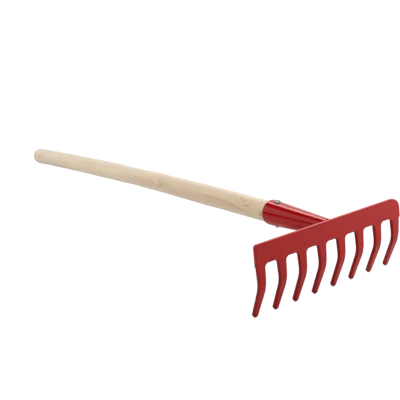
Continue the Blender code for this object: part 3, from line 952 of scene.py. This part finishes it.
def zinc_steel():
    """Zinc-plated steel with faint tool marks, a grey film, painted shade in its hollow and daubs of dark
    red paint, which also paint the shade under the head's rim.
    """
    material, tree, shader, place = principled("zinc_steel")
    film = noise(tree, place, *ZINC_FILM)
    painted = point_mark(tree, "painted")
    hollow = math_node(tree, "MULTIPLY", point_mark(tree, "hollow"), HOLLOW_SHADE_SHARE)
    colour = mix_colour(tree, ramp_value(tree, film, *ZINC_CLOUDS), ZINC_BRIGHT, ZINC_GREY)
    colour = mix_colour(tree, painted, colour, PAINT_DAUB_AND_SHADE)
    feed(tree, shader, {
        "Base Color": mix_colour(tree, hollow, colour, HOLLOW_SHADE_GREY),
        "Metallic": math_node(tree, "SUBTRACT", 1.0, painted),
        "Roughness": ramp_value(tree, film, *ZINC_ROUGHNESS),
        "Normal": bump(tree, noise(tree, place, *TOOL_MARKS), ZINC_BUMP),
    })
    return material


def dress():
    """Make every piece and give it its finish."""
    grids, marks = head_grids()
    add_piece("pressed_head", "rake_head", "head_paint",
              red_enamel("red_enamel_head", HEAD_RED, marks, HEAD_GLOSS_LOSS), grids, marks)
    grids, marks = socket_grid()
    add_piece("rolled_socket", "socket", "socket_paint",
              red_enamel("red_enamel_socket", SOCKET_RED, marks), grids, marks)
    grids, marks = weld_grid()
    add_piece("rippled_weld", "weld_bead", "weld_paint",
              red_enamel("red_enamel_weld", WELD_RED, marks), grids, marks)
    add_piece("turned_handle", "handle", "handle_wood", bare_wood(), *handle_grid())
    add_piece("round_rivet", "rivet", "rivet_steel", zinc_steel(), *rivet_grid())


# Floor, light and camera

WHITE = (1, 1, 1, 1)
FLOOR_HALF = 2.4
FLOOR_GREY = (0.7, 0.7, 0.7, 1)         # how pale the floor is as a source of light
FLOOR_MIRRORED = 0.49       # and in the paint's reflections
FLOOR_SHADED = 0.18         # and there, close behind the head, where a shadow is painted into it
SHADE_REACH = (0.03, 0.075)
SHADE_MIDDLE = (-0.05, -0.305)
SHADE_STRETCH = 2.0         # how much longer that shade is across the head than along the handle
FLOOR_SEEN = (0.2, 0.2, 0.2, 1)         # and to the camera, which sees a white glow added to it
FLOOR_GLOW = 0.87
GLOW_REACH = (0.45, 1.1)    # further away the glow alone is white


def cleared_tree(owner, output):
    """The emptied node tree of a material or world, and its output."""
    owner.use_nodes = True
    owner.node_tree.nodes.clear()
    return owner.node_tree, new_node(owner.node_tree, output)


def lay_floor():
    """A plain pale floor. The camera sees it white, a little darker in the object's shadow."""
    corners = [(x * FLOOR_HALF, y * FLOOR_HALF, 0) for x, y in ((-1, -1), (1, -1), (1, 1), (-1, 1))]
    mesh = bpy.data.meshes.new("floor")
    mesh.from_pydata(corners, [], [(0, 1, 2, 3)])
    material = bpy.data.materials.new("pale_floor")
    tree, leave = cleared_tree(material, "OutputMaterial")
    path = new_node(tree, "LightPath").outputs
    seen = path["Is Camera Ray"]
    mirrored = math_node(tree, "MAXIMUM", path["Is Glossy Ray"], path["Is Transmission Ray"])
    about_head = new_node(tree, "Mapping", {
        "Vector": new_node(tree, "TexCoord").outputs["Object"],
        "Location": (-SHADE_MIDDLE[0] / SHADE_STRETCH, -SHADE_MIDDLE[1], 0),
        "Scale": (1 / SHADE_STRETCH, 1, 1)}).outputs[0]
    away = new_node(tree, "VectorMath", {0: about_head}, operation="LENGTH").outputs["Value"]
    # a shadow painted into the floor as the paint's reflections see it, close behind the head
    shade = ramp_value(tree, away, *SHADE_REACH, FLOOR_SHADED, FLOOR_MIRRORED)
    colour = mix_colour(tree, seen, mix_colour(tree, mirrored, FLOOR_GREY, shade), FLOOR_SEEN)
    glow = math_node(tree, "MULTIPLY", seen, ramp_value(tree, away, *GLOW_REACH, FLOOR_GLOW, 1.0))
    paper = new_node(tree, "BsdfDiffuse", {"Color": colour})
    white = new_node(tree, "Emission", {"Color": WHITE, "Strength": glow})
    both = new_node(tree, "AddShader", {0: paper.outputs[0], 1: white.outputs[0]})
    feed(tree, leave, {"Surface": both.outputs[0]})
    mesh.materials.append(material)
    floor = new_object("floor", mesh)


# The greys of the walls behind, to the left and in front, by degrees of elevation, under a dark ceiling
BACK_WALL = [(-90, 0.9), (-1, 1.0), (36, 1.05), (40, 0.02), (90, 0.02)]
LEFT_WALL = [(-90, 0.6), (-3, 0.0), (8, 0.0), (10, 0.72), (36, 0.78), (40, 0.02)]
FRONT_WALL = [(-90, 0.5), (-1, 0.42), (36, 0.42), (40, 0.02), (90, 0.02)]
WALL_TURN = (-0.3, -0.6)    # where the left and front walls begin and are whole, in the ray's X or Y


def grey_ramp(tree, height, stops):
    """A ramp of greys over the sine of the elevation, its stops given in degrees of elevation."""
    node = new_node(tree, "ValToRGB", {0: math_node(tree, "MULTIPLY_ADD", height, 0.5, 0.5)})
    ramp = node.color_ramp.elements
    while len(ramp) < len(stops):
        ramp.new(0.5)
    for stop, (elevation, grey) in zip(ramp, stops):
        stop.position = 0.5 + 0.5 * math.sin(math.radians(elevation))
        stop.color = (grey, grey, grey, 1)
    return node.outputs[0]


def build_studio():
    """Pale walls under a dark ceiling, as light and in reflections. The camera sees plain white."""
    world = bpy.data.worlds.new("studio")
    bpy.context.scene.world = world
    tree, leave = cleared_tree(world, "OutputWorld")
    ray = new_node(tree, "TexCoord").outputs["Generated"]
    axes = new_node(tree, "SeparateXYZ", {0: ray}).outputs
    back, left, front = (grey_ramp(tree, axes["Z"], wall) for wall in (BACK_WALL, LEFT_WALL, FRONT_WALL))
    sides = mix_colour(tree, ramp_value(tree, axes["X"], *WALL_TURN), back, left)
    sides = mix_colour(tree, ramp_value(tree, axes["Y"], *WALL_TURN), sides, front)
    walls = new_node(tree, "Background", {"Color": sides})
    white = new_node(tree, "Background", {"Color": WHITE})
    path = new_node(tree, "LightPath").outputs
    straight = math_node(tree, "MAXIMUM", path["Is Camera Ray"], path["Is Transmission Ray"])
    pick = new_node(tree, "MixShader", {0: straight, 1: walls.outputs[0], 2: white.outputs[0]})
    feed(tree, leave, {"Surface": pick.outputs[0]})


HEAD_CENTRE = (0.0, -0.33, 0.05)
HANDLE_CENTRE = (0.0, 0.0, 0.06)
STICK_END = (0.0, 0.36, 0.06)
# The soft boxes: what each faces, its azimuth from +Y towards +X and elevation from there, how far off it
# stands, its width, height and brightness, and its spread, with angles in degrees
SOFTBOXES = {
    "back_box": (HEAD_CENTRE, 36, 42.5, 1.8, 1.25, 0.4, 3.9, 180),
    "top_box": (HANDLE_CENTRE, 180, 84, 1.7, 1.3, 1.3, 2.2, 180),
    "front_box": (HEAD_CENTRE, 118, 34, 0.75, 0.5, 0.5, 6.1, 180),
    "left_box": (HANDLE_CENTRE, 262, 20, 1.6, 1.1, 0.9, 2.25, 180),
    "stick_box": (STICK_END, 273, 40, 1.31, 0.3, 0.3, 0.9, 46),
}
NOT_MIRRORED = "front_box"


def light_studio():
    """Five soft boxes: behind to the right, overhead, in front, to the left, and over the stick's end.

    Each is a rectangular lamp whose power is its brightness times its area times pi.
    """
    for name, (target, azimuth, elevation, away, width, height, brightness, spread) in SOFTBOXES.items():
        lamp = bpy.data.lights.new(name, "AREA")
        lamp.shape = "RECTANGLE"
        lamp.size = width
        lamp.size_y = height
        lamp.energy = brightness * width * height * math.pi
        lamp.spread = math.radians(spread)
        azimuth, elevation = math.radians(azimuth), math.radians(elevation)
        flat = math.cos(elevation)
        towards = Vector((math.sin(azimuth) * flat, math.cos(azimuth) * flat, math.sin(elevation)))
        box = new_object(name, lamp)
        box.location = Vector(target) + towards * away
        box.rotation_euler = (Vector(target) - box.location).to_track_quat("-Z", "Y").to_euler()
        box.visible_camera = False
        box.visible_glossy = name != NOT_MIRRORED


# The camera was fitted to the photograph together with the rake's outline
CAMERA_PLACE = Vector((-0.49007, -0.87337, 0.3412))
CAMERA_TARGET = Vector((0.073, -0.0177, 0.0))
CAMERA_ROLL = math.radians(4.326)
CAMERA_LENS = 70.755
SENSOR_WIDTH = 36.0


def set_camera():
    """A camera at the photograph's place, looking at its target, rolled about its line of sight."""
    data = bpy.data.cameras.new("camera")
    data.lens = CAMERA_LENS
    data.sensor_width = SENSOR_WIDTH
    camera = new_object("camera", data)
    look = (CAMERA_TARGET - CAMERA_PLACE).to_track_quat("-Z", "Y").to_matrix().to_4x4()
    camera.matrix_world = Matrix.Translation(CAMERA_PLACE) @ look @ Matrix.Rotation(-CAMERA_ROLL, 4, "Z")
    bpy.context.scene.camera = camera


dress()
lay_floor()
build_studio()
light_studio()
set_camera()
bpy.context.scene.view_settings.view_transform = "Standard"
